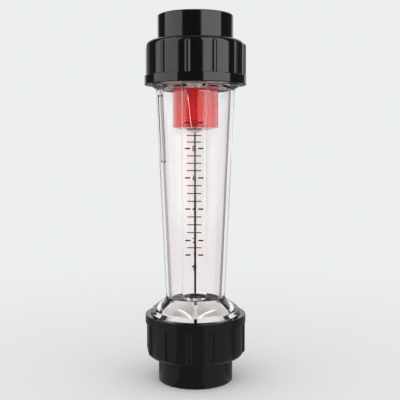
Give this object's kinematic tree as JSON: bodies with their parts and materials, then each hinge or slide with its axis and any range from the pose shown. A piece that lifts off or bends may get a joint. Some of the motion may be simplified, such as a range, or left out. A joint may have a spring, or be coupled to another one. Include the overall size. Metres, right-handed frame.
{
  "type": "rotameter",
  "caption": "Variable-area flow meter: a clear tapered tube with a red float on a guide rod, between black pipe unions with ribbed hand nuts.",
  "frame": {"origin": "centre of the lower socket's end face, where the meter stands", "axes": "+Z along the flow, up the tube; the scale flat faces -Y"},
  "size_m": [0.1014, 0.1014, 0.365],
  "materials": {
    "clear_acrylic": "polished clear moulding",
    "black_abs": "glossy moulded",
    "black_rubber": "moulded",
    "white_abs": "moulded",
    "white_silicone": "moulded",
    "stainless_steel": "drawn and ground",
    "red_abs": "glossy moulded",
    "bare_steel": "turned",
    "white_acetal": "turned"
  },
  "bodies": {
    "tube": {"metering_tube": "clear_acrylic", "lower_rod_support": "white_abs", "upper_rod_support": "white_abs", "lower_stop_buffer": "white_silicone", "upper_stop_buffer": "white_silicone", "guide_rod": "stainless_steel", "lower_rod_washer": "stainless_steel", "upper_rod_washer": "stainless_steel", "lower_rod_nut": "stainless_steel", "upper_rod_nut": "stainless_steel"},
    "float": {"float_lower_half": "red_abs", "float_upper_half": "red_abs", "float_weight": "bare_steel", "float_lower_bush": "white_acetal", "float_upper_bush": "white_acetal"},
    "lower_tail": {"lower_tailpiece": "black_abs", "lower_o_ring": "black_rubber"},
    "upper_tail": {"upper_tailpiece": "black_abs", "upper_o_ring": "black_rubber"},
    "lower_nut": {"lower_union_nut": "black_abs"},
    "upper_nut": {"upper_union_nut": "black_abs"}
  },
  "joints": [
    {"name": "float_slide", "type": "slide", "parent": "tube", "child": "float", "axis": [0, 0, 1], "range_m": [-0.1808, 0]},
    {"name": "lower_union_slide", "type": "slide", "parent": "tube", "child": "lower_tail", "axis": [0, 0, -1], "range_m": [0, 0.02]},
    {"name": "lower_nut_turn", "type": "hinge", "parent": "lower_tail", "child": "lower_nut", "pos_m": [0, 0, 0.033], "axis": [0, 0, -1], "range_deg": [0, 1800]},
    {"name": "upper_union_slide", "type": "slide", "parent": "tube", "child": "upper_tail", "axis": [0, 0, 1], "range_m": [0, 0.02]},
    {"name": "upper_nut_turn", "type": "hinge", "parent": "upper_tail", "child": "upper_nut", "pos_m": [0, 0, 0.332], "axis": [0, 0, 1], "range_deg": [0, 1800]}
  ],
  "couplings": [
    {"joint": "lower_union_slide", "follows": "lower_nut_turn", "m_per_rad": 0.00063661},
    {"joint": "upper_union_slide", "follows": "upper_nut_turn", "m_per_rad": 0.00063661}
  ]
}
